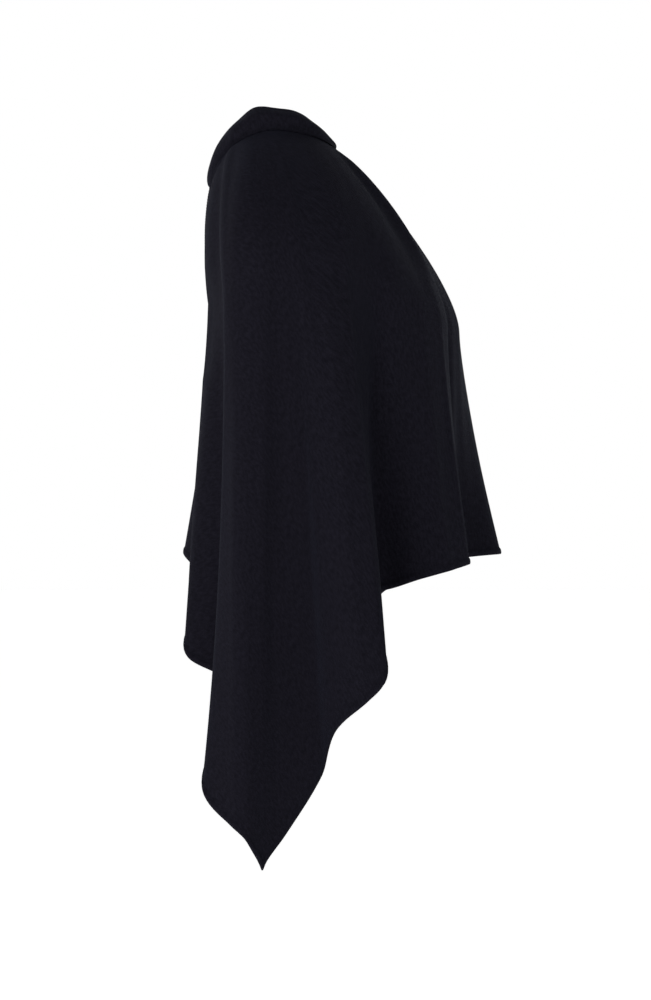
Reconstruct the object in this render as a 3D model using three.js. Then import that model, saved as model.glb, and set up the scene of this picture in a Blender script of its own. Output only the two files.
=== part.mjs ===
// A knitted poncho as it is worn: a wide panel joined into a ring, with its neck edge rolled
// over and one square corner hanging as a long point on the wearer's right.
// Millimetres. +Z is up, the front faces -Y, the wearer's right arm and the long point are at -X.
// The origin is the middle of the neck base, where the wearer's neck and shoulders hold the cloth.
import * as THREE from 'three';

// Cloth
const CLOTH_THICKNESS = 2;
const PIECE_GAP = 0.3;
const HEM_ROLL_HEIGHT = 7;
const HEM_ROLL_SWELL = 1;
const CLOTH_COLOUR = 0x19181f;
const CLOTH_ROUGHNESS = 0.95;

// Neck base, the ring where the panel passes under the roll
const NECK_HALF_WIDTH = 84;
const NECK_HALF_DEPTH = 59;
const NECK_CENTRE_Y = -8;
const NECK_SIDE_HEIGHT = -2;
const NECK_BACK_DROP = 27;
const NECK_FRONT_DROP = 12;

// General figure that the cloth rests on, used to share the lines of fall out round the neck
const FIGURE_HALF_WIDTH = 236;
const FIGURE_HALF_DEPTH = 138;
const FIGURE_CENTRE_Y = -72;

// Shape of a line of fall over the shoulder. The reach of its two handles is a share of its run
// and drop; the first reaches less far in front. Over the upper back the line bows out.
const NECK_HANDLE = 0.5;
const FRONT_NECK_HANDLE = 0.28;
const FRONT_NECK_SINK = 0.46;
const STRAIGHT_LEAVE_HANDLE = 0.12;
const ROUND_LEAVE_HANDLE = 0.45;
const UPPER_BACK_BOW = 11;
const BOW_AT_NECK = 0.8;

// Neck roll: each size has a value for the sides, the back and the front of the neck. The rise is
// that of the crest over the neck base, and the reach is how far down the panel the free edge lies.
const ROLL_SIDE_RISE = 20.5;
const ROLL_BACK_RISE = 18;
const ROLL_FRONT_RISE = 7.5;
const ROLL_SIDE_REACH = 19;
const ROLL_BACK_REACH = 34;
const ROLL_FRONT_REACH = 6;
const ROLL_SIDE_BULGE = 6;
const ROLL_BACK_BULGE = 4.5;
const ROLL_FRONT_BULGE = 1;
const ROLL_SIDE_LEAN = 3;
const ROLL_BACK_LEAN = -3;
const ROLL_FRONT_LEAN = -3;
const ROLL_FRONT_FALL = 1.5;
const ROLL_REST = 1.5;
const ROLL_CREST_RADIUS = 3.5;
const ROLL_OUTER_SHARE = 0.55;

// How finely the cloth is drawn
const PANEL_COLUMNS = 150;
const SHOULDER_STEPS = [0, 0.12, 0.25, 0.38, 0.52, 0.67, 0.83];
const HANG_STEPS = [0, 0.1, 0.21, 0.33, 0.45, 0.57, 0.69, 0.81, 0.92];
const ROLL_COLUMNS = 90;
const ROLL_STEPS = 14;

// Lines of fall: one row for each fold's ridge or valley, from the centre back round by the right
// arm, the front and the left arm. Each line leaves the figure at one place and ends at the hem.
// bend: 1 falls straight, more stays close to the figure first, so that its fold opens lower down.
// round: 1 for cloth that rounds over a shoulder, 0 for cloth drawn straight from the neck.
const FALL_COLUMNS = ['name', 'leaveX', 'leaveY', 'leaveZ', 'hemX', 'hemY', 'hemZ', 'bend', 'round'];
const FALL_ROWS = [
  ['back centre ridge', 5, 62, -190, 15, 92, -459, 1.4, 0.9],
  ['back right valley', -56, 63, -190, -62, 60, -498, 1.5, 0.9],
  ['back right drape', -126, 57, -194, -150, 80, -568, 1.0, 0.9],
  ['back right recess', -174, 40, -194, -156, 40, -590, 1.0, 0.85],
  ['arm back edge', -214, 40, -180, -228, 60, -705, 2.6, 0.8],
  ['arm back ridge', -231, 21, -165, -260, 15, -749, 1.2, 0.8],
  ['long point', -235, 8, -160, -248, 0, -775, 1.0, 0.8],
  ['arm middle ridge', -236, -3, -160, -230, -22, -744, 0.9, 0.8],
  ['arm deep valley', -236, -17, -160, -222, -59, -684, 0.8, 0.8],
  ['arm band start', -236, -29, -161, -238, -72, -638, 0.8, 0.8],
  ['arm band crest', -233, -45, -164, -261, -106, -605, 0.8, 0.8],
  ['arm front edge', -212, -82, -172, -264, -121, -590, 1.0, 0.75],
  ['front recess side', -192, -110, -183, -198, -110, -514, 1.2, 0.7],
  ['front recess', -177, -128, -190, -142, -137, -494, 1.2, 0.65],
  ['front right slope', -160, -147, -200, -146, -162, -485, 1.3, 0.6],
  ['front right band', -138, -166, -208, -140, -187, -478, 1.25, 0.5],
  ['front right ridge', -112, -185, -215, -114, -212, -471, 1.2, 0.42],
  ['front right valley', -58, -203, -219, -48, -204, -466, 1.5, 0.4],
  ['front centre ridge', 0, -210, -221, 15, -257, -461, 1.22, 0.35],
  ['front left valley', 66, -201, -219, 78, -204, -466, 1.5, 0.4],
  ['front left ridge', 122, -180, -214, 136, -218, -476, 1.2, 0.42],
  ['front left recess', 174, -143, -198, 178, -150, -497, 1.5, 0.6],
  ['left arm front edge', 214, -102, -179, 239, -112, -520, 1.2, 0.75],
  ['left arm front valley', 232, -58, -164, 234, -66, -531, 1.6, 0.8],
  ['left arm ridge', 237, -28, -160, 257, -32, -536, 1.3, 0.8],
  ['left arm back valley', 230, 10, -164, 231, 14, -529, 1.7, 0.8],
  ['left arm back edge', 206, 42, -183, 226, 56, -512, 1.2, 0.8],
  ['back left recess', 168, 55, -192, 168, 50, -491, 1.6, 0.85],
  ['back left ridge', 112, 61, -192, 116, 84, -467, 1.5, 0.9],
  ['back left valley', 62, 63, -190, 68, 60, -461, 1.6, 0.9],
];
// The hem turns sharply at this line: it is the corner of the knitted rectangle.
const CORNER_NAME = 'long point';

// Names a row's values after the columns.
function readFall(row) {
  return Object.fromEntries(FALL_COLUMNS.map((column, index) => [column, row[index]]));
}

const FALLS = FALL_ROWS.map(readFall);
const CORNER_INDEX = FALLS.findIndex((fall) => fall.name === CORNER_NAME);

// Direction round the figure in which a line of fall leaves the neck, in radians.
function fallTurn(fall) {
  const sideways = fall.leaveX / FIGURE_HALF_WIDTH;
  const backwards = (fall.leaveY - FIGURE_CENTRE_Y) / FIGURE_HALF_DEPTH;
  return Math.atan2(backwards, sideways);
}

// Mixes a value for the sides, the back and the front of the neck by direction. The front value
// comes in nearer to the sides where frontFall is small.
function aroundNeck(turn, side, back, front, frontFall = 2) {
  const backwards = Math.max(0, Math.sin(turn)) ** 2;
  const forwards = Math.max(0, -Math.sin(turn)) ** frontFall;
  return side + (back - side) * backwards + (front - side) * forwards;
}

// Point of the neck base below a direction.
function neckPoint(turn) {
  const height = aroundNeck(turn, 0, -NECK_BACK_DROP, -NECK_FRONT_DROP);
  return new THREE.Vector3(
    NECK_HALF_WIDTH * Math.cos(turn),
    NECK_CENTRE_Y + NECK_HALF_DEPTH * Math.sin(turn),
    NECK_SIDE_HEIGHT + height,
  );
}

// Line of fall on its way from the neck to where it leaves the figure.
function shoulderCurve(fall) {
  const turn = fallTurn(fall);
  const neck = neckPoint(turn);
  const leave = new THREE.Vector3(fall.leaveX, fall.leaveY, fall.leaveZ);
  const drop = leave.z - neck.z;
  const handle = aroundNeck(turn, NECK_HANDLE, NECK_HANDLE, FRONT_NECK_HANDLE);
  const bow = aroundNeck(turn, 0, UPPER_BACK_BOW, 0);
  const first = neck.clone().lerp(leave, handle);
  first.y += bow * BOW_AT_NECK;
  first.z = neck.z + drop * handle * (1 - fall.round) * aroundNeck(turn, 1, 1, FRONT_NECK_SINK);
  const reach = THREE.MathUtils.lerp(STRAIGHT_LEAVE_HANDLE, ROUND_LEAVE_HANDLE, fall.round);
  const second = new THREE.Vector3(leave.x, leave.y + bow, leave.z - drop * reach);
  return new THREE.CubicBezierCurve3(neck, first, second, leave);
}

// Point of a line of fall below where it leaves the figure.
function hangPoint(fall, share) {
  const sideways = share ** fall.bend;
  return new THREE.Vector3(
    THREE.MathUtils.lerp(fall.leaveX, fall.hemX, sideways),
    THREE.MathUtils.lerp(fall.leaveY, fall.hemY, sideways),
    THREE.MathUtils.lerp(fall.leaveZ, fall.hemZ, share),
  );
}

// Share of a line's hanging length at which its rolled hem starts.
function hemRollStart(fall) {
  return 1 - HEM_ROLL_HEIGHT / (fall.leaveZ - fall.hemZ);
}

// Slope of a ring at one of its points, from its neighbours and the distances to them.
function ringSlope(points, lengths, index) {
  const count = points.length;
  const before = (index + count - 1) % count;
  const back = points[index].clone().sub(points[before]).divideScalar(lengths[before]);
  const ahead = points[(index + 1) % count].clone().sub(points[index]).divideScalar(lengths[index]);
  const total = lengths[before] + lengths[index];
  const smooth = back.clone().multiplyScalar(lengths[index] / total);
  smooth.addScaledVector(ahead, lengths[before] / total);
  return { back, ahead, smooth };
}

// Smooth closed ring through points, one for each line of fall, which may turn sharply in height
// at the corner. place counts lines of fall, with fractions between them.
function ringPoint(points, place) {
  const count = points.length;
  const index = Math.floor(place) % count;
  const next = (index + 1) % count;
  const share = place - Math.floor(place);
  const lengths = points.map((point, at) => point.distanceTo(points[(at + 1) % count]));
  const start = ringSlope(points, lengths, index);
  const end = ringSlope(points, lengths, next);
  if (index === CORNER_INDEX) start.smooth.z = start.ahead.z;
  if (next === CORNER_INDEX) end.smooth.z = end.back.z;
  const square = share * share;
  const cube = square * share;
  return new THREE.Vector3()
    .addScaledVector(points[index], 2 * cube - 3 * square + 1)
    .addScaledVector(start.smooth, (cube - 2 * square + share) * lengths[index])
    .addScaledVector(points[next], 3 * square - 2 * cube)
    .addScaledVector(end.smooth, (cube - square) * lengths[index]);
}

// Shares the panel's columns out among the lines of fall by the length of hem between them.
function columnPlaces(total) {
  const hems = FALLS.map((fall) => hangPoint(fall, 1));
  const lengths = hems.map((point, index) => point.distanceTo(hems[(index + 1) % hems.length]));
  const whole = lengths.reduce((sum, length) => sum + length, 0);
  const places = [];
  lengths.forEach((length, index) => {
    const steps = Math.max(3, Math.round((total * length) / whole));
    for (let step = 0; step < steps; step += 1) places.push(index + step / steps);
  });
  return places;
}

// Heights of the panel's outer face, each as one ring of points on the lines of fall.
function panelStations() {
  const shoulder = SHOULDER_STEPS.map((share) => FALLS.map((fall) => shoulderCurve(fall).getPoint(share)));
  const hang = HANG_STEPS.map((share) => FALLS.map((fall) => hangPoint(fall, share * hemRollStart(fall))));
  const rollStart = FALLS.map((fall) => hangPoint(fall, hemRollStart(fall)));
  const rollMiddle = FALLS.map((fall) => hangPoint(fall, (1 + hemRollStart(fall)) / 2));
  const hem = FALLS.map((fall) => hangPoint(fall, 1));
  return [...shoulder, ...hang, rollStart, rollMiddle, hem];
}

// Outward direction at each point of a grid of rows that close round the garment.
function gridNormals(rows) {
  return rows.map((row, level) => {
    const above = rows[Math.max(0, level - 1)];
    const below = rows[Math.min(rows.length - 1, level + 1)];
    return row.map((point, column) => {
      const right = row[(column + 1) % row.length];
      const left = row[(column + row.length - 1) % row.length];
      const across = right.clone().sub(left);
      const down = below[column].clone().sub(above[column]);
      return down.cross(across).normalize();
    });
  });
}

// Moves each point of a grid along its outward direction, by a distance given for each row.
function offsetGrid(rows, normals, distances) {
  return rows.map((row, level) => row.map((point, column) => (
    point.clone().addScaledVector(normals[level][column], distances[level])
  )));
}

// Closed wall between an outer grid and an inner grid of the same size, both rings round +Z.
function wallGeometry(outer, inner) {
  const loop = [...outer, ...inner.slice().reverse()];
  const columns = outer[0].length;
  const positions = loop.flat().flatMap((point) => [point.x, point.y, point.z]);
  const indices = [];
  loop.forEach((row, level) => {
    const nextLevel = (level + 1) % loop.length;
    row.forEach((point, column) => {
      const nextColumn = (column + 1) % columns;
      const corner = level * columns + column;
      const right = level * columns + nextColumn;
      const below = nextLevel * columns + column;
      const belowRight = nextLevel * columns + nextColumn;
      indices.push(corner, below, right, right, below, belowRight);
    });
  });
  const geometry = new THREE.BufferGeometry();
  geometry.setAttribute('position', new THREE.Float32BufferAttribute(positions, 3));
  geometry.setIndex(indices);
  geometry.computeVertexNormals();
  return geometry;
}

function clothMaterial() {
  return new THREE.MeshStandardMaterial({
    color: CLOTH_COLOUR,
    roughness: CLOTH_ROUGHNESS,
    metalness: 0,
    side: THREE.FrontSide,
  });
}

// The knitted panel from under the neck roll down to its rolled hem.
function buildPanel() {
  const places = columnPlaces(PANEL_COLUMNS);
  const face = panelStations().map((ring) => places.map((place) => ringPoint(ring, place)));
  const normals = gridNormals(face);
  const lastLevel = face.length - 1;
  const swells = face.map((row, level) => (level >= lastLevel - 1 ? HEM_ROLL_SWELL : 0));
  const outer = offsetGrid(face, normals, swells);
  const inner = offsetGrid(face, normals, swells.map((swell) => -CLOTH_THICKNESS - swell / 2));
  const panel = new THREE.Mesh(wallGeometry(outer, inner), clothMaterial());
  panel.name = 'knit_panel';
  return panel;
}

// Profile of the neck roll above one line of fall: up from the neck base, over the crest and
// down outside to the roll's free edge, which rests on the panel.
function rollProfile(fall) {
  const turn = fallTurn(fall);
  const neck = neckPoint(turn);
  const rise = aroundNeck(turn, ROLL_SIDE_RISE, ROLL_BACK_RISE, ROLL_FRONT_RISE, ROLL_FRONT_FALL);
  const reach = aroundNeck(turn, ROLL_SIDE_REACH, ROLL_BACK_REACH, ROLL_FRONT_REACH);
  const out = new THREE.Vector3(Math.cos(turn), Math.sin(turn), 0);
  const up = new THREE.Vector3(0, 0, 1);
  const halfCloth = CLOTH_THICKNESS / 2;
  const inner = neck.clone().addScaledVector(out, -halfCloth).addScaledVector(up, halfCloth + PIECE_GAP);
  const lean = aroundNeck(turn, ROLL_SIDE_LEAN, ROLL_BACK_LEAN, ROLL_FRONT_LEAN);
  const crest = neck.clone().addScaledVector(up, rise).addScaledVector(out, lean);
  const shoulder = shoulderCurve(fall);
  const edge = shoulder.getPointAt(reach / shoulder.getLength());
  edge.addScaledVector(out, ROLL_REST).addScaledVector(up, ROLL_REST);
  const crestInside = crest.clone().addScaledVector(out, -ROLL_CREST_RADIUS);
  crestInside.addScaledVector(up, -ROLL_CREST_RADIUS);
  const crestOutside = crest.clone().addScaledVector(out, ROLL_CREST_RADIUS);
  crestOutside.addScaledVector(up, -ROLL_CREST_RADIUS / 2);
  const bulge = aroundNeck(turn, ROLL_SIDE_BULGE, ROLL_BACK_BULGE, ROLL_FRONT_BULGE);
  const outerSide = crest.clone().lerp(edge, ROLL_OUTER_SHARE).addScaledVector(out, bulge);
  outerSide.addScaledVector(up, bulge / 2);
  return [inner, crestInside, crest, crestOutside, outerSide, edge];
}

// The neck stretch of the panel, turned over outwards into a soft roll.
function buildNeckRoll() {
  const profiles = FALLS.map((fall) => new THREE.CatmullRomCurve3(rollProfile(fall)));
  const places = Array.from({ length: ROLL_COLUMNS }, (_, index) => (index * FALLS.length) / ROLL_COLUMNS);
  const middle = [];
  for (let step = ROLL_STEPS; step >= 0; step -= 1) {
    const ring = profiles.map((profile) => profile.getPoint(step / ROLL_STEPS));
    middle.push(places.map((place) => ringPoint(ring, place)));
  }
  middle.reverse();
  const normals = gridNormals(middle);
  const half = middle.map(() => CLOTH_THICKNESS / 2);
  const outer = offsetGrid(middle, normals, half);
  const inner = offsetGrid(middle, normals, half.map((distance) => -distance));
  const roll = new THREE.Mesh(wallGeometry(outer, inner), clothMaterial());
  roll.name = 'neck_roll';
  return roll;
}

const poncho = new THREE.Group();
poncho.add(buildPanel(), buildNeckRoll());

export default poncho;
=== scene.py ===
"""A worn knitted poncho of very dark navy jersey, dressed for its portrait.

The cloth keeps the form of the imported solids. It is drawn here as thin knitted shells with
finer folds, a rolled neck edge, a self-rolled hem and the linked seam down the back.
Sizes in the tables are millimetres, as in the part's source. Meshes are in metres.
"""
import logging
import math
from dataclasses import dataclass, field
from enum import Enum
from functools import cached_property

import bpy
import numpy as np
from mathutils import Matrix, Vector


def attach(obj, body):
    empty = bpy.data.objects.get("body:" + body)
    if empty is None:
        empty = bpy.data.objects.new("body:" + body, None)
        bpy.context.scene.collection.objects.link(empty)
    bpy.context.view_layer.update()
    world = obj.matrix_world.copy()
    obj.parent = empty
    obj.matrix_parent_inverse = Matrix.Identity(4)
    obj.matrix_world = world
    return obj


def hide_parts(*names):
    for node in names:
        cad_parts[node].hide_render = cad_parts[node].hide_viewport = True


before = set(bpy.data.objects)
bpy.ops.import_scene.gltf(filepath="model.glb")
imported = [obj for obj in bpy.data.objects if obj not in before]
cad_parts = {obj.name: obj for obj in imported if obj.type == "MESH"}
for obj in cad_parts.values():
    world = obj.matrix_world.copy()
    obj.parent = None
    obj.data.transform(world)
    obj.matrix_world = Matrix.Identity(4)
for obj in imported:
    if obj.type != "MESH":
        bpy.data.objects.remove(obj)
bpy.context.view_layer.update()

logger = logging.getLogger("poncho")

MM = 0.001
GRAIN_LAYER = "grain"
RIPPLE_SEED = 7
TINY = 1e-9


class Node(Enum):
    """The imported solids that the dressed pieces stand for."""

    PANEL = "knit_panel"
    ROLL = "neck_roll"


@dataclass(frozen=True)
class Fall:
    """One line of fall: a fold's ridge or valley, from where it leaves the figure to the hem.

    bend is 1 for a line that falls straight, and more for one that stays close to the figure
    first. round is 1 for cloth that rounds over a shoulder and 0 for cloth drawn straight.
    """

    name: str
    leave: tuple[float, float, float]
    hem: tuple[float, float, float]
    bend: float
    round: float


# From the centre back round by the right arm, the front and the left arm.
FALLS = (
    Fall("back centre ridge", (5, 62, -190), (15, 92, -459), 1.4, 0.9),
    Fall("back right valley", (-56, 63, -190), (-62, 60, -498), 1.5, 0.9),
    Fall("back right drape", (-126, 57, -194), (-150, 80, -568), 1.0, 0.9),
    Fall("back right recess", (-174, 40, -194), (-156, 40, -590), 1.0, 0.85),
    Fall("arm back edge", (-214, 40, -180), (-228, 60, -705), 2.6, 0.8),
    Fall("arm back ridge", (-231, 21, -165), (-260, 15, -749), 1.2, 0.8),
    Fall("long point", (-235, 8, -160), (-248, 0, -775), 1.0, 0.8),
    Fall("arm middle ridge", (-236, -3, -160), (-230, -22, -744), 0.9, 0.8),
    Fall("arm deep valley", (-236, -17, -160), (-222, -59, -684), 0.8, 0.8),
    Fall("arm band start", (-236, -29, -161), (-238, -72, -638), 0.8, 0.8),
    Fall("arm band crest", (-233, -45, -164), (-261, -106, -605), 0.8, 0.8),
    Fall("arm front edge", (-212, -82, -172), (-264, -121, -590), 1.0, 0.75),
    Fall("front recess side", (-192, -110, -183), (-198, -110, -514), 1.2, 0.7),
    Fall("front recess", (-177, -128, -190), (-142, -137, -494), 1.2, 0.65),
    Fall("front right slope", (-160, -147, -200), (-146, -162, -485), 1.3, 0.6),
    Fall("front right band", (-138, -166, -208), (-140, -187, -478), 1.25, 0.5),
    Fall("front right ridge", (-112, -185, -215), (-114, -212, -471), 1.2, 0.42),
    Fall("front right valley", (-58, -203, -219), (-48, -204, -466), 1.5, 0.4),
    Fall("front centre ridge", (0, -210, -221), (15, -257, -461), 1.22, 0.35),
    Fall("front left valley", (66, -201, -219), (78, -204, -466), 1.5, 0.4),
    Fall("front left ridge", (122, -180, -214), (136, -218, -476), 1.2, 0.42),
    Fall("front left recess", (174, -143, -198), (178, -150, -497), 1.5, 0.6),
    Fall("left arm front edge", (214, -102, -179), (239, -112, -520), 1.2, 0.75),
    Fall("left arm front valley", (232, -58, -164), (234, -66, -531), 1.6, 0.8),
    Fall("left arm ridge", (237, -28, -160), (257, -32, -536), 1.3, 0.8),
    Fall("left arm back valley", (230, 10, -164), (231, 14, -529), 1.7, 0.8),
    Fall("left arm back edge", (206, 42, -183), (226, 56, -512), 1.2, 0.8),
    Fall("back left recess", (168, 55, -192), (168, 50, -491), 1.6, 0.85),
    Fall("back left ridge", (112, 61, -192), (116, 84, -467), 1.5, 0.9),
    Fall("back left valley", (62, 63, -190), (68, 60, -461), 1.6, 0.9),
)
CORNER = next(index for index, fall in enumerate(FALLS) if fall.name == "long point")


@dataclass(frozen=True)
class Crease:
    """A soft trough or ridge that follows the cloth downwards.

    place counts lines of fall round the garment, drift is how far it wanders round by its lower
    end, top and bottom are shares of the way from neck to hem, and height is outwards, in mm.
    """

    place: float
    drift: float
    top: float
    bottom: float
    height: float
    width: float


CREASES = (
    # Right arm, between the flutes
    Crease(4.6, 0.1, 0.34, 0.99, 1.6, 8),
    Crease(6.9, 0.1, 0.44, 0.93, 0.9, 8),
    Crease(9.4, 0.7, 0.83, 0.91, 1.6, 5),
    Crease(9.7, 0.6, 0.87, 0.95, -1.2, 4),
    Crease(10.4, 0.3, 0.22, 0.80, 1.8, 13),
    Crease(10.9, 0.1, 0.70, 1.02, 1.4, 7),
    Crease(11.0, 0.0, 0.26, 0.82, 3.4, 9),
    # Right front
    Crease(12.3, 0.4, 0.28, 1.06, -10.0, 16),
    Crease(14.9, 0.3, 0.36, 1.02, 3.0, 13),
    Crease(14.2, 0.2, 0.50, 0.99, 1.2, 7),
    Crease(15.2, 0.3, 0.52, 1.00, -1.2, 7),
    Crease(16.0, 0.1, 0.38, 1.00, 2.4, 5),
    Crease(16.6, 0.1, 0.34, 1.00, -5.0, 8),
    Crease(16.1, 0.2, 0.02, 0.40, 4.6, 11),
    Crease(16.9, 0.2, 0.03, 0.34, -3.0, 12),
    Crease(15.3, 0.2, 0.04, 0.44, -2.2, 14),
    # Front
    Crease(17.2, 0.2, 0.30, 0.95, 1.6, 11),
    Crease(18.4, 0.3, 0.46, 1.00, -1.8, 10),
    Crease(19.4, -0.3, 0.38, 0.92, 2.0, 12),
    Crease(19.8, 0.2, 0.04, 0.40, -1.8, 14),
    # Left arm
    Crease(21.4, 0.3, 0.44, 0.98, 2.0, 9),
    Crease(22.6, 0.2, 0.30, 0.90, -1.8, 9),
    Crease(23.6, -0.2, 0.24, 0.76, 2.0, 11),
    Crease(24.5, 0.3, 0.36, 1.00, -2.2, 9),
    Crease(25.4, 0.2, 0.30, 0.84, 1.8, 12),
    Crease(26.4, -0.2, 0.46, 1.00, -1.6, 9),
    # Back, with the hollow behind the upper arm filled over the shoulder blade
    Crease(3.3, 0.0, -0.25, 0.40, 5.0, 18),
    Crease(4.1, 0.0, -0.25, 0.36, -2.4, 12),
    Crease(0.3, 0.0, 0.36, 0.58, -4.0, 45),
    Crease(2.0, 0.0, 0.28, 0.50, -4.0, 35),
    Crease(27.5, 0.3, 0.34, 0.94, 2.0, 10),
    Crease(28.5, 0.1, 0.44, 1.00, -1.8, 9),
    Crease(29.3, -0.3, 0.22, 0.80, 1.6, 14),
    Crease(0.6, 0.2, 0.40, 0.98, -2.0, 11),
    Crease(1.5, 0.2, 0.28, 0.88, 1.8, 12),
    Crease(2.5, 0.4, 0.36, 0.97, -2.4, 11),
    Crease(3.4, 0.1, 0.50, 1.00, 1.6, 8),
)


@dataclass(frozen=True)
class NeckBase:
    """The ring where the panel passes under the roll, and the figure's size at the shoulders.

    A line of fall leaves the ring in the direction in which it leaves the figure.
    """

    half_width: float = 84
    half_depth: float = 59
    centre_y: float = -8
    side_height: float = -2
    back_drop: float = 27
    front_drop: float = 12
    figure_half_width: float = 236
    figure_half_depth: float = 138
    figure_centre_y: float = -72

    def turn(self, fall: Fall) -> float:
        """Direction, in radians, in which a line of fall leaves the neck.

        Args:
            fall: The line of fall.

        Returns:
            The direction, counted from the wearer's left towards the back.
        """
        sideways = fall.leave[0] / self.figure_half_width
        backwards = (fall.leave[1] - self.figure_centre_y) / self.figure_half_depth
        return math.atan2(backwards, sideways)

    @staticmethod
    def mix(turn: float, side: float, back: float, front: float, front_fall: float = 2) -> float:
        """Mix the values for the sides, the back and the front by direction.

        Args:
            turn: Direction in radians.
            side: Value at the two sides.
            back: Value at the centre back.
            front: Value at the centre front.
            front_fall: How the front value comes in: 2 is smooth, less is sooner.

        Returns:
            The value in that direction.
        """
        backwards = max(0.0, math.sin(turn)) ** 2
        forwards = max(0.0, -math.sin(turn)) ** front_fall
        return side + (back - side) * backwards + (front - side) * forwards

    def point(self, turn: float) -> np.ndarray:
        """Point of the ring in a direction.

        Args:
            turn: Direction in radians.

        Returns:
            The point in millimetres.
        """
        height = self.side_height + self.mix(turn, 0, -self.back_drop, -self.front_drop)
        across = self.half_width * math.cos(turn)
        along = self.centre_y + self.half_depth * math.sin(turn)
        return np.array([across, along, height])


def bezier(points: list[np.ndarray], share: float) -> np.ndarray:
    """Point of a cubic Bezier curve.

    Args:
        points: The curve's four control points.
        share: Share of the way along, from 0 to 1.

    Returns:
        The point.
    """
    rest = 1 - share
    weights = (rest**3, 3 * rest**2 * share, 3 * rest * share**2, share**3)
    return sum(weight * point for weight, point in zip(weights, points))


@dataclass(frozen=True)
class Hang:
    """How the lines of fall run from the neck over the shoulders and down to the hem.

    A handle is the share of a line's shoulder stretch, or of its drop there, over which it keeps
    the direction that it has at the neck or where it leaves. front_neck_sink is the share of the
    first drop that is left at the front. The bow makes the upper back rounder, in mm.
    """

    neck: NeckBase = NeckBase()
    neck_handle: float = 0.5
    front_neck_handle: float = 0.28
    front_neck_sink: float = 0.46
    straight_leave_handle: float = 0.12
    round_leave_handle: float = 0.45
    upper_back_bow: float = 11
    bow_at_neck: float = 0.8

    def shoulder(self, fall: Fall, share: float) -> np.ndarray:
        """Point of a line on its way over the shoulder.

        Args:
            fall: The line of fall.
            share: Share of the way from the neck to where the line leaves the figure.

        Returns:
            The point in millimetres.
        """
        turn = self.neck.turn(fall)
        start = self.neck.point(turn)
        leave = np.array(fall.leave, float)
        drop = leave[2] - start[2]
        handle = self.neck.mix(turn, self.neck_handle, self.neck_handle, self.front_neck_handle)
        bow = self.neck.mix(turn, 0, self.upper_back_bow, 0)
        first = start + (leave - start) * handle
        first[1] += bow * self.bow_at_neck
        sink = self.neck.mix(turn, 1, 1, self.front_neck_sink)
        first[2] = start[2] + drop * handle * (1 - fall.round) * sink
        straight = self.straight_leave_handle
        reach = straight + fall.round * (self.round_leave_handle - straight)
        second = leave + np.array([0, bow, -drop * reach])
        return bezier([start, first, second, leave], share)

    def below(self, fall: Fall, share: float) -> np.ndarray:
        """Point of a line below where it leaves the figure.

        Args:
            fall: The line of fall.
            share: Share of the hanging length.

        Returns:
            The point in millimetres.
        """
        leave = np.array(fall.leave, float)
        hem = np.array(fall.hem, float)
        sideways = share**fall.bend
        mixed = leave + (hem - leave) * sideways
        mixed[2] = leave[2] + (hem[2] - leave[2]) * share
        return mixed


class Ring:
    """A smooth closed ring through one point for each line of fall."""

    def __init__(self, points: np.ndarray, corner_turn: float = 1) -> None:
        """Work out the ring's slopes.

        Args:
            points: One point for each line of fall, in order.
            corner_turn: Share of the hem corner's sharp turn that the ring takes, from 0 to 1.
        """
        self.points = points
        ahead_step = np.roll(points, -1, 0) - points
        self.lengths = np.linalg.norm(ahead_step, axis=1)
        ahead = ahead_step / self.lengths[:, None]
        back = np.roll(ahead, 1, 0)
        before = np.roll(self.lengths, 1)
        total = (before + self.lengths)[:, None]
        smooth = back * self.lengths[:, None] / total + ahead * before[:, None] / total
        self.leaving = smooth.copy()
        self.arriving = smooth.copy()
        turn = np.array([-1, 1]) * (ahead[CORNER, 2] - back[CORNER, 2]) / 2 * corner_turn
        middle = (ahead[CORNER, 2] + back[CORNER, 2]) / 2
        rest = (1 - corner_turn) * smooth[CORNER, 2] + corner_turn * middle
        self.arriving[CORNER, 2], self.leaving[CORNER, 2] = rest + turn

    def at(self, places: np.ndarray) -> np.ndarray:
        """Points of the ring.

        Args:
            places: Numbers that count lines of fall, with fractions between them.

        Returns:
            One point for each place.
        """
        count = len(self.points)
        index = np.floor(places).astype(int) % count
        after = (index + 1) % count
        share = (places - np.floor(places))[:, None]
        square, cube = share**2, share**3
        length = self.lengths[index][:, None]
        return (
            self.points[index] * (2 * cube - 3 * square + 1)
            + self.leaving[index] * (cube - 2 * square + share) * length
            + self.points[after] * (3 * square - 2 * cube)
            + self.arriving[after] * (cube - square) * length
        )


def grid_normals(grid: np.ndarray) -> np.ndarray:
    """Outward direction at each point of a grid that closes round the garment.

    Args:
        grid: Points as rows down and columns round.

    Returns:
        Unit vectors in the same layout.
    """
    across = np.roll(grid, -1, 1) - np.roll(grid, 1, 1)
    down = np.gradient(grid, axis=0)
    normals = np.cross(down, across)
    return normals / np.maximum(np.linalg.norm(normals, axis=2, keepdims=True), TINY)


def wall_faces(rows: int, columns: int) -> np.ndarray:
    """Faces of a wall whose rows form a closed loop and whose columns close round.

    Args:
        rows: Rows in the loop, down the outside and up the inside.
        columns: Columns round the garment.

    Returns:
        Four vertex numbers for each face.
    """
    row, column = np.meshgrid(np.arange(rows), np.arange(columns), indexing="ij")
    below = (row + 1) % rows
    beside = (column + 1) % columns
    corners = (
        row * columns + column,
        below * columns + column,
        below * columns + beside,
        row * columns + beside,
    )
    return np.stack(corners, axis=-1).reshape(-1, 4)


def cloth_walked(points: np.ndarray) -> np.ndarray:
    """Length walked along a line of points, from 0 at the first."""
    steps = np.linalg.norm(np.diff(points, axis=0), axis=1)
    return np.concatenate([[0], np.cumsum(steps)])


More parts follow.
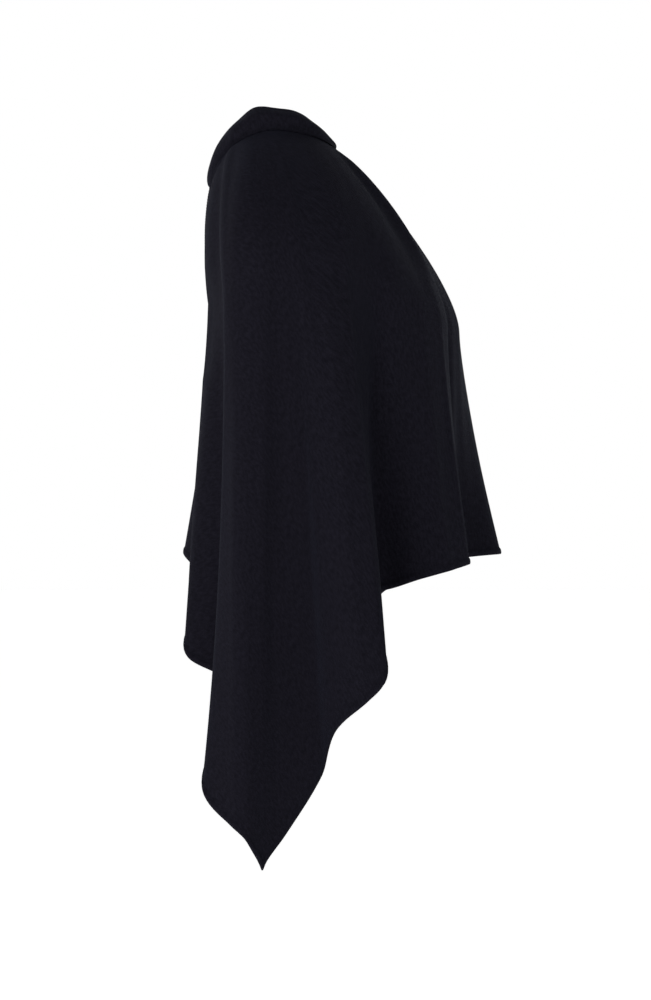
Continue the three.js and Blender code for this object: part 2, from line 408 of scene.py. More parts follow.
def points_at(marks: np.ndarray, walked: np.ndarray, values: np.ndarray) -> np.ndarray:
    """Points or directions read off a line at given lengths.

    Args:
        marks: Lengths at which the line is read.
        walked: Length walked at each of the line's points.
        values: The line's points, or their directions.

    Returns:
        One row of three for each mark.
    """
    return np.stack([np.interp(marks, walked, values[:, axis]) for axis in range(3)], axis=-1)


def make_object(name: str, points: np.ndarray, faces: np.ndarray) -> bpy.types.Object:
    """Make a smooth shaded mesh object.

    Args:
        name: The object's name.
        points: Vertices in millimetres.
        faces: Vertex numbers of each face.

    Returns:
        The object, linked to the scene.
    """
    mesh = bpy.data.meshes.new(name)
    mesh.from_pydata((points * MM).tolist(), [], faces.tolist())
    mesh.polygons.foreach_set("use_smooth", [True] * len(mesh.polygons))
    mesh.update()
    made = bpy.data.objects.new(name, mesh)
    bpy.context.collection.objects.link(made)
    return made


def set_grain(made: bpy.types.Object, grain: np.ndarray) -> None:
    """Store the flat cut's coordinates as the mesh's UV layer, in metres.

    Args:
        made: The object that gets them.
        grain: Two coordinates for each corner of each face, in millimetres.
    """
    layer = made.data.uv_layers.new(name=GRAIN_LAYER)
    layer.data.foreach_set("uv", (grain * MM).astype(np.float32).ravel())


def math_node(
    tree: bpy.types.NodeTree, operation: str, *values: bpy.types.NodeSocket | float
) -> bpy.types.NodeSocket:
    """Add a Math node.

    Args:
        tree: The node tree that gets it.
        operation: The node's operation.
        values: A socket or a number for each of its inputs.

    Returns:
        The node's output.
    """
    node = tree.nodes.new("ShaderNodeMath")
    node.operation = operation
    for socket, value in zip(node.inputs, values):
        if isinstance(value, bpy.types.NodeSocket):
            tree.links.new(value, socket)
        else:
            socket.default_value = value
    return node.outputs[0]


def noise_node(
    tree: bpy.types.NodeTree, place: bpy.types.NodeSocket, scale: float, detail: float
) -> bpy.types.NodeSocket:
    """Add a noise.

    Args:
        tree: The node tree that gets it.
        place: Where the noise is read.
        scale: Lumps in a unit of place.
        detail: Octaves.

    Returns:
        The noise's value.
    """
    noise = tree.nodes.new("ShaderNodeTexNoise")
    noise.inputs["Scale"].default_value = scale
    noise.inputs["Detail"].default_value = detail
    tree.links.new(place, noise.inputs["Vector"])
    return noise.outputs["Fac"]


@dataclass(frozen=True)
class KnitFinish:
    """Fine plain jersey in very dark navy: stitches in wales and courses, a soft nap, little sheen.

    Lumps and streaks are counted in a metre. The lift and its start turn the mixed fibre noise
    into the share of lighter yarn. leg_lean is in courses for each wale, and loop_wave is how far
    a stitch's leg rises and sinks along it.
    """

    name: str = "navy_jersey"
    colour: tuple[float, float, float] = (0.0042, 0.0040, 0.0063)
    light_fibre: tuple[float, float, float] = (0.0081, 0.0077, 0.0119)
    fibre_lumps: float = 1100
    fibre_detail: float = 2
    fibre_lift: float = 5.2
    fibre_start: float = -1.02
    # Painted shade: the colour darkens between the wales and lightens on the loops' legs by stitch
    # height.
    stitch_painted_shade: float = 0.4
    streaks_across: float = 420
    streaks_along: float = 150
    wale_mm: float = 2.0
    course_mm: float = 1.5
    leg_lean: float = 1.3
    loop_wave: float = 0.3
    stitch_depth_mm: float = 0.35
    nap_lumps: float = 900
    nap_detail: float = 4
    nap_strength: float = 0.8
    nap_depth_mm: float = 0.25
    roughness: float = 0.9
    specular: float = 0.02
    sheen: float = 0.018
    sheen_roughness: float = 0.3
    sheen_tint: tuple[float, float, float] = (0.55, 0.62, 1.0)

    def build(self) -> bpy.types.Material:
        """Make the material.

        Returns:
            The node material.
        """
        material = bpy.data.materials.new(self.name)
        material.use_nodes = True
        tree = material.node_tree
        shader = tree.nodes["Principled BSDF"]
        shader.inputs["Roughness"].default_value = self.roughness
        shader.inputs["Specular IOR Level"].default_value = self.specular
        shader.inputs["Sheen Weight"].default_value = self.sheen
        shader.inputs["Sheen Roughness"].default_value = self.sheen_roughness
        shader.inputs["Sheen Tint"].default_value = (*self.sheen_tint, 1)
        stitch = self._stitch_height(tree)
        self._colour(tree, shader, stitch)
        self._relief(tree, shader, stitch)
        return material

    @staticmethod
    def _grain(tree: bpy.types.NodeTree) -> bpy.types.NodeSocket:
        """Place on the flat cut, in metres.

        Args:
            tree: The node tree that gets the node.

        Returns:
            The place as a vector.
        """
        grain = tree.nodes.new("ShaderNodeUVMap")
        grain.uv_map = GRAIN_LAYER
        return grain.outputs["UV"]

    @staticmethod
    def _place(tree: bpy.types.NodeTree) -> bpy.types.NodeSocket:
        """Place in the garment's own space, in metres."""
        return tree.nodes.new("ShaderNodeTexCoord").outputs["Object"]

    def _stitch_height(self, tree: bpy.types.NodeTree) -> bpy.types.NodeSocket:
        """Height of the jersey's V-shaped stitches, from 0 between wales to 1 on a loop's leg.

        Args:
            tree: The node tree that gets the nodes.

        Returns:
            The height as a value.
        """
        split = tree.nodes.new("ShaderNodeSeparateXYZ")
        tree.links.new(self._grain(tree), split.inputs["Vector"])
        wales = math_node(tree, "DIVIDE", split.outputs["X"], self.wale_mm * MM)
        across = math_node(tree, "PINGPONG", wales, 0.5)
        courses = math_node(tree, "DIVIDE", split.outputs["Y"], self.course_mm * MM)
        slant = math_node(tree, "MULTIPLY_ADD", across, self.leg_lean, courses)
        wave = math_node(tree, "COSINE", math_node(tree, "MULTIPLY", slant, math.tau))
        loop = math_node(tree, "MULTIPLY_ADD", wave, self.loop_wave, 1 - self.loop_wave)
        leg = math_node(tree, "SINE", math_node(tree, "MULTIPLY", across, math.tau))
        return math_node(tree, "MULTIPLY", loop, leg)

    def _streaks(self, tree: bpy.types.NodeTree) -> bpy.types.NodeSocket:
        """Noise drawn out along the wales, as thicker and thinner yarn gives.

        Args:
            tree: The node tree that gets the nodes.

        Returns:
            The noise's value.
        """
        stretch = tree.nodes.new("ShaderNodeMapping")
        stretch.inputs["Scale"].default_value = (self.streaks_across, self.streaks_along, 1)
        tree.links.new(self._grain(tree), stretch.inputs["Vector"])
        return noise_node(tree, stretch.outputs["Vector"], 1, self.fibre_detail)

    def _colour(
        self, tree: bpy.types.NodeTree, shader: bpy.types.Node, stitch: bpy.types.NodeSocket
    ) -> None:
        """Colour the yarn: painted shade darker between stitches, with lighter fibres in soft
        patches.

        Args:
            tree: The material's node tree.
            shader: Its shader.
            stitch: Height of the stitches.
        """
        fibre = noise_node(tree, self._place(tree), self.fibre_lumps, self.fibre_detail)
        both = math_node(tree, "MULTIPLY", fibre, self._streaks(tree))
        lifted = math_node(tree, "MULTIPLY_ADD", both, self.fibre_lift, self.fibre_start)
        # Painted shade: the stitch height darkens the colour between the wales and lightens the
        # loops' legs.
        share = math_node(tree, "MULTIPLY_ADD", stitch, self.stitch_painted_shade, lifted)
        mix = tree.nodes.new("ShaderNodeMix")
        mix.data_type = "RGBA"
        mix.clamp_factor = True
        tree.links.new(share, mix.inputs["Factor"])
        mix.inputs["A"].default_value = (*self.colour, 1)
        mix.inputs["B"].default_value = (*self.light_fibre, 1)
        tree.links.new(mix.outputs["Result"], shader.inputs["Base Color"])

    def _relief(
        self, tree: bpy.types.NodeTree, shader: bpy.types.Node, stitch: bpy.types.NodeSocket
    ) -> None:
        """Raise the stitches and the nap over them.

        Args:
            tree: The material's node tree.
            shader: Its shader.
            stitch: Height of the stitches.
        """
        knit = tree.nodes.new("ShaderNodeBump")
        knit.inputs["Strength"].default_value = 1
        knit.inputs["Distance"].default_value = self.stitch_depth_mm * MM
        tree.links.new(stitch, knit.inputs["Height"])
        fuzz = noise_node(tree, self._place(tree), self.nap_lumps, self.nap_detail)
        nap = tree.nodes.new("ShaderNodeBump")
        nap.inputs["Strength"].default_value = self.nap_strength
        nap.inputs["Distance"].default_value = self.nap_depth_mm * MM
        tree.links.new(fuzz, nap.inputs["Height"])
        tree.links.new(knit.outputs["Normal"], nap.inputs["Normal"])
        tree.links.new(nap.outputs["Normal"], shader.inputs["Normal"])


@dataclass
class KnitPanel:
    """The knitted rectangle, from under the neck roll down to its self-rolled hem.

    Lengths are in millimetres, apart from the flat cut's, in metres. Fades and starts are shares
    of the way from neck to hem, and seam_reach counts lines of fall back from the long point.
    """

    hang: Hang = field(default_factory=Hang)
    thickness: float = 2.0
    hem_roll: float = 7.0
    hem_swell: float = 1.1
    inner_swell: float = 0.5
    columns: int = 400
    shoulder_rows: int = 38
    hang_rows: int = 68
    hem_rows: int = 8
    fine_marks: int = 6000
    corner_start: float = 0.3
    corner_growth: float = 0.6
    crease_fade: float = 0.7
    open_from: float = 0.96
    open_growth: float = 2.2
    open_past: float = 1.2
    neck_fade: float = 0.08
    ripple: float = 0.8
    ripple_waves: int = 26
    ripple_round: tuple[int, int] = (5, 26)
    ripple_down: tuple[float, float] = (0.4, 2.6)
    ripple_growth: float = 3
    tip_drop: float = 2.5
    tip_width: float = 4.0
    tip_above: float = 90.0
    cut_width: float = 0.60
    cut_length: float = 1.26
    cut_corner: float = 90.0
    seam_reach: float = 8.0

    @cached_property
    def places(self) -> np.ndarray:
        """Columns as places among the lines of fall, shared out by the length of hem.

        Returns:
            A number for each column that counts lines of fall, with fractions between them.
        """
        hems = Ring(np.array([self.hang.below(fall, 1) for fall in FALLS]))
        fine = np.linspace(0, len(FALLS), self.fine_marks, endpoint=False)
        points = hems.at(fine)
        steps = np.linalg.norm(np.roll(points, -1, 0) - points, axis=1)
        walked = np.concatenate([[0], np.cumsum(steps)])
        marks = np.linspace(0, walked[-1], self.columns, endpoint=False)
        even = np.interp(marks, walked, np.append(fine, len(FALLS)))
        corner = np.abs(even - CORNER).argmin()
        even[corner] = CORNER
        return even

    def _levels(self) -> list[np.ndarray]:
        """Rings of points on the lines of fall, from the neck to the hem.

        Returns:
            A ring for each row, with one point for each line of fall.
        """
        over = np.linspace(0, 1, self.shoulder_rows, endpoint=False)
        levels = [np.array([self.hang.shoulder(fall, share) for fall in FALLS]) for share in over]
        starts = np.array([1 - self.hem_roll / (fall.leave[2] - fall.hem[2]) for fall in FALLS])
        hanging = [starts * share for share in np.linspace(0, 1, self.hang_rows, endpoint=False)]
        rolled = [starts + (1 - starts) * share for share in np.linspace(0, 1, self.hem_rows)]
        for shares in hanging + rolled:
            levels.append(np.array([self.hang.below(fall, at) for fall, at in zip(FALLS, shares)]))
        return levels

    @cached_property
    def smooth_grid(self) -> np.ndarray:
        """The outer face before its finer creases.

        Returns:
            Points in millimetres, as rows down and columns round.
        """
        levels = self._levels()
        heights = np.linspace(0, 1, len(levels))
        turns = np.clip((heights - self.corner_start) / self.corner_growth, 0, 1) ** 2
        return np.array([Ring(level, turn).at(self.places) for level, turn in zip(levels, turns)])

    @cached_property
    def walked(self) -> np.ndarray:
        """Length of cloth from the neck to each point along its own line, in millimetres."""
        steps = np.linalg.norm(np.diff(self.smooth_grid, axis=0), axis=2)
        return np.vstack([np.zeros(self.columns), np.cumsum(steps, axis=0)])

    @cached_property
    def down(self) -> np.ndarray:
        """Share of the way from neck to hem at each point, along its own line."""
        return self.walked / self.walked[-1]

    @cached_property
    def around(self) -> np.ndarray:
        """Distance round each row, in millimetres, with the whole length as a last column."""
        steps = np.linalg.norm(np.roll(self.smooth_grid, -1, 1) - self.smooth_grid, axis=2)
        return np.hstack([np.zeros((len(steps), 1)), np.cumsum(steps, axis=1)])

    def crease_height(self, crease: Crease) -> np.ndarray:
        """Height of one crease at each point of the grid.

        Args:
            crease: The crease.

        Returns:
            Heights in millimetres, outwards.
        """
        stops = np.append(self.places, len(FALLS))
        middle = self.down.mean(axis=1)
        along = np.clip((middle - crease.top) / (crease.bottom - crease.top), 0, 1)
        path = (crease.place + crease.drift * along) % len(FALLS)
        reached = np.array([np.interp(at, stops, row) for at, row in zip(path, self.around)])
        whole = self.around[:, -1]
        apart = self.around[:, :-1] - reached[:, None]
        apart = (apart + whole[:, None] / 2) % whole[:, None] - whole[:, None] / 2
        profile = np.exp(-((apart / crease.width) ** 2))
        share = (self.down - crease.top) / (crease.bottom - crease.top)
        fade = np.sin(np.clip(share, 0, 1) * math.pi) ** self.crease_fade
        opened = np.clip(share * self.open_growth, 0, 1)
        reach = np.where(crease.bottom >= self.open_from, opened, fade)
        window = np.where((share > 0) & (share < self.open_past), reach, 0)
        return crease.height * profile * window

    def _ripple(self) -> np.ndarray:
        """Slow uneven swell of soft cloth, in millimetres.

        Returns:
            Heights outwards at each point of the grid.
        """
        generator = np.random.default_rng(RIPPLE_SEED)
        heights = np.zeros(self.down.shape)
        turns = self.places / len(FALLS) * math.tau
        for _ in range(self.ripple_waves):
            waves_round = generator.integers(*self.ripple_round)
            waves_down = generator.uniform(*self.ripple_down)
            start = generator.uniform(0, math.tau, 2)
            around = waves_round * turns[None, :] + start[0]
            heights += np.cos(around + waves_down * math.tau * self.down + start[1])
        growth = np.clip(self.down * self.ripple_growth, 0, 1)
        return heights / math.sqrt(self.ripple_waves) * self.ripple * growth

    @cached_property
    def grid(self) -> np.ndarray:
        """The outer face with its creases.

        Returns:
            Points in millimetres, as rows down and columns round.
        """
        heights = self._ripple()
        for crease in CREASES:
            heights = heights + self.crease_height(crease)
        fade = np.clip(self.down / self.neck_fade, 0, 1)
        face = self.smooth_grid + grid_normals(self.smooth_grid) * (heights * fade)[:, :, None]
        face[:, :, 2] -= self._tip()
        return face

    def _tip(self) -> np.ndarray:
        """How far the long point's very tip is drawn down by its rolled corner, in millimetres.

        Returns:
            The drop at each point of the grid.
        """
        apart = self.around[:, :-1] - self.around[:, [self.corner_column]]
        apart = np.minimum(np.abs(apart), self.around[:, [-1]] - np.abs(apart))
        above = (1 - self.down) * self.tip_above
        return self.tip_drop * np.exp(-((apart / self.tip_width) ** 2) - above**2)

    def _swell(self) -> np.ndarray:
        """How far each row of the hem's roll stands out, in millimetres.

        Returns:
            One number for each row, 0 above the roll.
        """
        swell = np.zeros(len(self.grid))
        across = np.linspace(-1, 1, self.hem_rows)
        swell[-self.hem_rows:] = self.hem_swell * np.sqrt(np.clip(1 - across**2, 0, 1))
        return swell

    def _unroll(self, forwards: bool) -> np.ndarray:
        """Lay the panel out flat by unrolling it strip by strip, starting at the long point.

        Args:
            forwards: Go round by the front first, or by the back.

        Returns:
            Flat points in millimetres, with the starting column once more at the end.
        """
        walked = self.walked
        widths = np.linalg.norm(np.roll(self.smooth_grid, -1, 1) - self.smooth_grid, axis=2)
        turning = (widths[-1] - widths[0]) / walked[-1]
        angle, start = math.radians(self.cut_corner / 2), np.zeros(2)
        flat = np.zeros((len(walked), self.columns + 1, 2))
        for step in range(self.columns + 1):
            column = (self.corner_column + (step if forwards else -step)) % self.columns
            fall_way = np.array([math.sin(angle), -math.cos(angle)])
            flat[:, step] = start + walked[:, column, None] * fall_way
            strip = column if forwards else column - 1
            side = -1 if forwards else 1
            angle += side * turning[strip]
            start = start + side * widths[0, strip] * np.array([math.cos(angle), math.sin(angle)])
        return flat

    @cached_property
    def corner_column(self) -> int:
        """The column that runs down to the long point."""
        return int(np.abs(self.places - CORNER).argmin())

    @cached_property
    def seam_steps(self) -> np.ndarray:
        """How many columns back from the long point the linked seam lies, for each row.

        Returns:
            A number for each row, with fractions of a column.
        """
        flat = self._unroll(False)
        count = len(FALLS)
        columns = (self.corner_column - np.arange(self.columns)) % self.columns
        back = (CORNER - self.places[columns]) % count
        last = int(np.abs(back - self.seam_reach).argmin())
        way = flat[-1, last] - flat[0, 0]
        aside = np.cross(flat - flat[0, 0], way)
        steps = []
        for row in aside:
            crossing = np.nonzero(np.diff(np.sign(row[:last + 2])))[0]
            first = crossing[-1] if len(crossing) else 0
            both = abs(row[first]) + abs(row[first + 1])
            steps.append(first + abs(row[first]) / max(both, TINY))
        return np.maximum.accumulate(np.array(steps))

    def _face_grain(self) -> np.ndarray:
        """Flat coordinates for each corner of the outer face's quads, cut along the seam.

        Returns:
            Two coordinates in millimetres for each corner, by row, column and corner.
        """
        ahead, behind = self._unroll(True), self._unroll(False)
        rows = len(self.smooth_grid)
        corners = np.zeros((rows - 1, self.columns, 4, 2))
        limit = self.columns - (self.seam_steps[:-1] + self.seam_steps[1:]) / 2
        for column in range(self.columns):
            step = (column - self.corner_column) % self.columns
            back = self.columns - step
            quad = [
                (ahead[:-1, step], ahead[1:, step], ahead[1:, step + 1], ahead[:-1, step + 1]),
                (behind[:-1, back], behind[1:, back], behind[1:, back - 1], behind[:-1, back - 1]),
            ]
            near = (step + 0.5 < limit)[:, None]
            for place in range(4):
                corners[:, column, place] = np.where(near, quad[0][place], quad[1][place])
        return corners

    def build(self, finish: bpy.types.Material) -> bpy.types.Object:
        """Make the panel and dress it.

        Args:
            finish: The knit's material.

        Returns:
            The panel's object.
        """
        normals = grid_normals(self.grid)
        swell = self._swell()[:, None, None]
        outer = self.grid + normals * swell
        inner = self.grid - normals * (self.thickness + swell * self.inner_swell)
        loop = np.concatenate([outer, inner[::-1]])
        faces = wall_faces(len(loop), self.columns)
        panel = make_object("jersey_panel", loop.reshape(-1, 3), faces)
        outer_grain = self._face_grain()
        inner_grain = outer_grain[::-1][:, :, [1, 0, 3, 2]]
        hem_grain = np.repeat(outer_grain[-1:, :, [1]], 4, axis=2)
        neck_grain = np.repeat(outer_grain[:1, :, [0]], 4, axis=2)
        set_grain(panel, np.concatenate([outer_grain, hem_grain, inner_grain, neck_grain]))
        panel.data.materials.append(finish)
        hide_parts(Node.PANEL.value)
        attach(panel, "root")
        return panel


@dataclass
class LinkedSeam:
    """The one seam, where the end of the rectangle is linked to its long edge.

    Sizes are in millimetres. The stitches lean by a share of a stitch towards the ridge's sides,
    and the groove along its middle has a depth and a width as shares of the ridge's own.
    """

    panel: KnitPanel
    half_width: float = 2.6
    height: float = 1.5
    stitch: float = 3.2
    stitch_lean: float = 0.45
    stitch_relief: float = 0.2
    groove_depth: float = 0.35
    groove_width: float = 0.16
    sunk: float = 0.35
    along: int = 760
    across: int = 13

    def _path(self) -> tuple[np.ndarray, np.ndarray, np.ndarray]:
        """Find the seam's path over the panel's outer face.

        Returns:
            Evenly spaced points, the outward directions there, and the length walked to each.
        """
        grid, normals = self.panel.grid, grid_normals(self.panel.grid)
        rows = np.arange(1, len(grid) - 1)
        columns = (self.panel.corner_column - self.panel.seam_steps[rows]) % self.panel.columns
        first = np.floor(columns).astype(int)
        share = (columns - first)[:, None]
        after = (first + 1) % self.panel.columns
        points = grid[rows, first] * (1 - share) + grid[rows, after] * share
        outward = normals[rows, first] * (1 - share) + normals[rows, after] * share
        walked = cloth_walked(points)
        marks = np.linspace(0, walked[-1], self.along)
        facing = points_at(marks, walked, outward)
        facing = facing / np.linalg.norm(facing, axis=1, keepdims=True)
        return points_at(marks, walked, points), facing, marks

    def build(self, finish: bpy.types.Material) -> bpy.types.Object:
        """Make the seam's ridge with its row of chain stitches.

        Args:
            finish: The knit's material.

        Returns:
            The seam's object.
        """
        points, outward, walked = self._path()
        forwards = np.gradient(points, axis=0)
        sideways = np.cross(outward, forwards)
        sideways /= np.linalg.norm(sideways, axis=1, keepdims=True)
        places = np.linspace(-1, 1, self.across)
        marks = walked[:, None]
        chain = np.cos((marks / self.stitch + np.abs(places) * self.stitch_lean) * math.tau)
        bumps = 1 - self.stitch_relief + self.stitch_relief * chain
        groove = 1 - self.groove_depth * np.exp(-((places / self.groove_width) ** 2))
        rise = self.height * np.sqrt(1 - places**2) * bumps * groove - self.sunk
        ridge = points[:, None] + sideways[:, None] * (places * self.half_width)[None, :, None]
        ridge = ridge + outward[:, None] * rise[:, :, None]
        index = np.arange(self.along * self.across).reshape(self.along, self.across)
        faces = np.stack([index[:-1, :-1], index[:-1, 1:], index[1:, 1:], index[1:, :-1]], axis=-1)
        faces = faces.reshape(-1, 4)
        seam = make_object("linked_seam", ridge.reshape(-1, 3), faces)
        flat = np.stack(np.broadcast_arrays(places[None, :] * self.half_width, marks), axis=-1)
        set_grain(seam, flat.reshape(-1, 2)[faces.ravel()])
        seam.data.materials.append(finish)
        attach(seam, "root")
        return seam


@dataclass(frozen=True)
class Lobe:
    """A place where the roll's crest stands a little higher or lower.

    direction and width are in degrees round the neck, and height is in millimetres.
    """

    direction: float
    height: float
    width: float


LOBES = (
    Lobe(160, 3.2, 11),
    Lobe(182, -1.6, 9),
    Lobe(206, 0.8, 10),
    Lobe(118, 1.4, 13),
    Lobe(72, -1.2, 12),
    Lobe(38, 1.8, 11),
    Lobe(2, -1.4, 13),
    Lobe(-28, 1.4, 10),
    Lobe(-62, -0.8, 9),
)


@dataclass
class NeckRoll:
    """The neck stretch of the panel, turned over outwards into a soft roll.

    Sizes are in millimetres, apart from the flat cut's, in metres. Three values together are for
    the sides, the centre back and the centre front. The lip is the fullest place near the free
    edge, which is tucked in under it and sinks a little into the panel's nap.
    """

    hang: Hang = field(default_factory=Hang)
    thickness: float = 2.0
    gap: float = 0.3
    rise: tuple[float, float, float] = (20.5, 18, 7.5)
    rise_fall: float = 1.5
    reach: tuple[float, float, float] = (19, 34, 6)
    bulge: tuple[float, float, float] = (8.5, 4.5, 1)
    lean: tuple[float, float, float] = (3, -3, -3)
    lip_out: float = 1.5
    lip_up: float = 7.0
    rest: float = 1.5
    tuck: float = 2.5
    sink: float = 0.6
    crest_radius: float = 3.5
    outer_share: float = 0.55
    columns: int = 360
    steps: int = 44
    fine_steps: int = 200
    curve_steps: int = 24
    cut_width: float = 0.058
    cut_length: float = 0.60

    def _lobe(self, turn: float) -> float:
        """How much higher or lower the uneven crest stands in a direction, in millimetres.

        Args:
            turn: Direction in radians.

        Returns:
            The height to add to the crest.
        """
        total = 0.0
        for lobe in LOBES:
            apart = (math.degrees(turn) - lobe.direction + 180) % 360 - 180
            total += lobe.height * math.exp(-((apart / lobe.width) ** 2))
        return total

    def _profile(self, fall: Fall) -> np.ndarray:
        """Points of the roll's profile above one line of fall.

        Args:
            fall: The line of fall.

        Returns:
            Points up the inside, over the crest and down the outside to the free edge.
        """
        neck = self.hang.neck
        turn = neck.turn(fall)
        base = neck.point(turn)
        out = np.array([math.cos(turn), math.sin(turn), 0])
        up = np.array([0, 0, 1.0])
        half = self.thickness / 2
        inner = base - out * half + up * (half + self.gap)
        rise = neck.mix(turn, *self.rise, self.rise_fall) + self._lobe(turn)
        crest = base + up * rise + out * neck.mix(turn, *self.lean)
        inside = crest - out * self.crest_radius - up * self.crest_radius
        outside = crest + out * self.crest_radius - up * self.crest_radius / 2
        shares = np.linspace(0, 1, self.fine_steps)
        shoulder = np.array([self.hang.shoulder(fall, share) for share in shares])
        edge = points_at(neck.mix(turn, *self.reach), cloth_walked(shoulder), shoulder)
        edge = edge + out * self.rest + up * self.rest
        bulge = neck.mix(turn, *self.bulge)
        side = crest + (edge - crest) * self.outer_share + out * bulge + up * bulge / 2
        scale = rise / self.rise[0]
        lip = edge + (out * self.lip_out + up * self.lip_up) * scale
        tucked = edge - (out * self.tuck + up * self.sink) * scale
        return np.array([inner, inside, crest, outside, side, lip, tucked])

    def _smooth(self, points: np.ndarray) -> np.ndarray:
        """Even points on a smooth curve through a profile's points.

        Args:
            points: The profile's points.

        Returns:
            The curve's points, one for each step.
        """
        ends = np.vstack([2 * points[0] - points[1], points, 2 * points[-1] - points[-2]])
        curve = []
        for index in range(1, len(ends) - 2):
            before, start, end, after = ends[index - 1:index + 3]
            for share in np.linspace(0, 1, self.curve_steps, endpoint=False):
                square, cube = share**2, share**3
                curve.append(
                    0.5 * (2 * start + (end - before) * share
                           + (2 * before - 5 * start + 4 * end - after) * square
                           + (3 * start - before - 3 * end + after) * cube)
                )
        curve.append(points[-1])
        walked = cloth_walked(np.array(curve))
        marks = np.linspace(0, walked[-1], self.steps)
        return points_at(marks, walked, np.array(curve))

    @staticmethod
    def _flat_grain(middle: np.ndarray, faces: np.ndarray) -> np.ndarray:
        """Flat coordinates for each corner of the roll's faces.

        Args:
            middle: Points in the middle of the wall, as rows along the profile and columns round.
            faces: Vertex numbers of each face.

        Returns:
            Two coordinates for each corner, in millimetres.
        """
        steps = np.linalg.norm(np.diff(middle, axis=0), axis=2).mean(axis=1)
        walked = np.concatenate([[0], np.cumsum(steps)])
        widths = np.linalg.norm(np.roll(middle, -1, 1) - middle, axis=2).mean(axis=0)
        round_way = np.concatenate([[0], np.cumsum(widths)[:-1]])
        flat = np.stack(np.meshgrid(round_way, walked), axis=-1)
        flat = np.concatenate([flat, flat[::-1]]).reshape(-1, 2)
        grain = flat[faces.ravel()].reshape(-1, 4, 2)
        whole = widths.sum()
        wrapped = np.ptp(grain[:, :, 0], axis=1) > whole / 2
        grain[wrapped, :, 0] += np.where(grain[wrapped, :, 0] < whole / 2, whole, 0)
        return grain.reshape(-1, 2)

    def build(self, finish: bpy.types.Material) -> bpy.types.Object:
        """Make the roll and dress it.

        Args:
            finish: The knit's material.

        Returns:
            The roll's object.
        """
        profiles = np.array([self._smooth(self._profile(fall)) for fall in FALLS])
        places = np.linspace(0, len(FALLS), self.columns, endpoint=False)
        middle = np.array([Ring(profiles[:, step]).at(places) for step in range(self.steps)])
        normals = grid_normals(middle)
        half = self.thickness / 2
        loop = np.concatenate([middle + normals * half, (middle - normals * half)[::-1]])
        faces = wall_faces(len(loop), self.columns)
        roll = make_object("rolled_neck", loop.reshape(-1, 3), faces)
        set_grain(roll, self._flat_grain(middle, faces))
        roll.data.materials.append(finish)
        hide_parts(Node.ROLL.value)
        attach(roll, "root")
        return roll


@dataclass(frozen=True)
class Lamp:
    """A soft square lamp that points at the garment. Its place and side are in metres."""

    name: str
    place: tuple[float, float, float]
    watts: float
    colour: tuple[float, float, float] = (1, 1, 1)
    side: float = 1.5

    def hang(self, aim: Vector) -> None:
        """Hang the lamp and point it at a place.

        Args:
            aim: The place, in metres.
        """
        data = bpy.data.lights.new(self.name, "AREA")
        data.energy = self.watts
        data.size = self.side
        data.color = self.colour
        lamp = bpy.data.objects.new(self.name, data)
        lamp.location = self.place
        lamp.rotation_euler = (aim - Vector(self.place)).to_track_quat("-Z", "Y").to_euler()
        bpy.context.collection.objects.link(lamp)


LAMPS = (
    Lamp("key_lamp", (-2.92, 1.15, -0.15), 76),
    Lamp("far_lamp", (2.6, -1.7, 0.2), 24, (0.8, 0.88, 1)),
    Lamp("back_lamp", (2.0, 2.6, 0.2), 14),
)


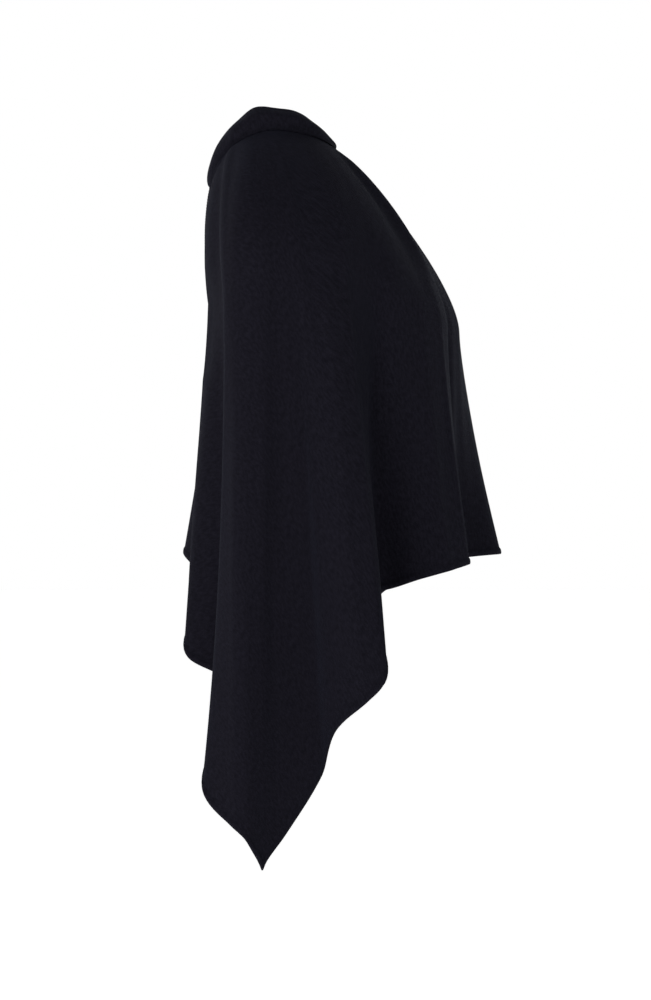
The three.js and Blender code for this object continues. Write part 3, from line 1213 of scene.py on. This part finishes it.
@dataclass(frozen=True)
class Studio:
    """A pale glowing floor far below, a white surround, the lamps and the camera.

    The surround dims overhead, from the horizon band up to the zenith, and towards the side
    opposite the bright one. Lengths are in metres, apart from the camera's sensor, in mm.
    """

    floor_z: float = -1.42
    floor_size: float = 60.0
    surround: float = 1.0
    horizon_band: float = 0.25
    zenith: float = 0.15
    bright_side: tuple[float, float, float] = (1, 0, 0)
    dim_side: float = 0.6
    dimmest_at: float = -0.9
    brightest_at: float = 0.15
    floor_colour: tuple[float, float, float] = (0.95, 0.95, 0.95)
    floor_glow: float = 0.57
    distance: float = 3.2
    metres_per_pixel: float = 0.0011
    picture_height: int = 1000
    sensor: float = 36.0
    farthest: float = 100
    aim: tuple[float, float, float] = (0, -0.0632, -0.4015)

    def build(self) -> None:
        """Make the floor, the surround, the lamps and the camera."""
        self._floor()
        self._surround()
        for lamp in LAMPS:
            lamp.hang(Vector(self.aim))
        self._camera()

    def _floor(self) -> None:
        """Make the pale floor."""
        half = self.floor_size / 2
        mesh = bpy.data.meshes.new("floor")
        corners = [(-half, -half, self.floor_z), (half, -half, self.floor_z)]
        corners += [(half, half, self.floor_z), (-half, half, self.floor_z)]
        mesh.from_pydata(corners, [], [(0, 1, 2, 3)])
        floor = bpy.data.objects.new("floor", mesh)
        bpy.context.collection.objects.link(floor)
        material = bpy.data.materials.new("pale_floor")
        material.use_nodes = True
        shader = material.node_tree.nodes["Principled BSDF"]
        shader.inputs["Base Color"].default_value = (*self.floor_colour, 1)
        shader.inputs["Roughness"].default_value = 1
        shader.inputs["Specular IOR Level"].default_value = 0
        shader.inputs["Emission Color"].default_value = (1, 1, 1, 1)
        shader.inputs["Emission Strength"].default_value = self.floor_glow
        mesh.materials.append(material)

    def _surround(self) -> None:
        """Fill the studio with soft white light."""
        world = bpy.data.worlds.new("white_surround")
        world.use_nodes = True
        tree = world.node_tree
        background = tree.nodes["Background"]
        background.inputs["Strength"].default_value = self.surround
        direction = tree.nodes.new("ShaderNodeTexCoord").outputs["Generated"]
        split = tree.nodes.new("ShaderNodeSeparateXYZ")
        tree.links.new(direction, split.inputs["Vector"])
        overhead = self._ramp(tree, split.outputs["Z"], (self.horizon_band, 1), (1, self.zenith))
        side = tree.nodes.new("ShaderNodeVectorMath")
        side.operation = "DOT_PRODUCT"
        tree.links.new(direction, side.inputs[0])
        side.inputs[1].default_value = self.bright_side
        band = (self.dimmest_at, self.brightest_at)
        around = self._ramp(tree, side.outputs["Value"], band, (self.dim_side, 1))
        both = math_node(tree, "MULTIPLY", overhead, around)
        tree.links.new(both, background.inputs["Color"])
        bpy.context.scene.world = world
        bpy.context.scene.view_settings.view_transform = "Standard"

    @staticmethod
    def _ramp(
        tree: bpy.types.NodeTree,
        value: bpy.types.NodeSocket,
        band: tuple[float, float],
        results: tuple[float, float],
    ) -> bpy.types.NodeSocket:
        """Add a node that turns one range of values into another.

        Args:
            tree: The node tree that gets it.
            value: What it reads.
            band: Values at which the change starts and ends.
            results: Results up to the band's start and from its end on.

        Returns:
            The node's result.
        """
        ramp = tree.nodes.new("ShaderNodeMapRange")
        for name, number in zip(("From Min", "From Max", "To Min", "To Max"), band + results):
            ramp.inputs[name].default_value = number
        tree.links.new(value, ramp.inputs["Value"])
        return ramp.outputs["Result"]

    def _camera(self) -> None:
        """Stand the camera level at the wearer's right side."""
        data = bpy.data.cameras.new("portrait")
        frame_height = self.metres_per_pixel * self.picture_height
        data.lens = self.sensor * self.distance / frame_height
        data.sensor_width = self.sensor
        data.clip_end = self.farthest
        camera = bpy.data.objects.new("portrait", data)
        camera.location = (-self.distance, *self.aim[1:])
        camera.rotation_euler = (math.radians(90), 0, math.radians(-90))
        bpy.context.collection.objects.link(camera)
        bpy.context.scene.camera = camera


def main() -> None:
    """Build the garment's pieces in order and report each."""
    logging.basicConfig(level=logging.INFO, format="%(name)s: %(message)s")
    Studio().build()
    finish = KnitFinish().build()
    panel_plan = KnitPanel()
    panel = panel_plan.build(finish)
    logger.info("panel: %d faces", len(panel.data.polygons))
    seam = LinkedSeam(panel_plan).build(finish)
    logger.info("seam: %d faces", len(seam.data.polygons))
    roll_plan = NeckRoll()
    roll = roll_plan.build(finish)
    logger.info("roll: %d faces", len(roll.data.polygons))


if __name__ == "__main__":
    main()
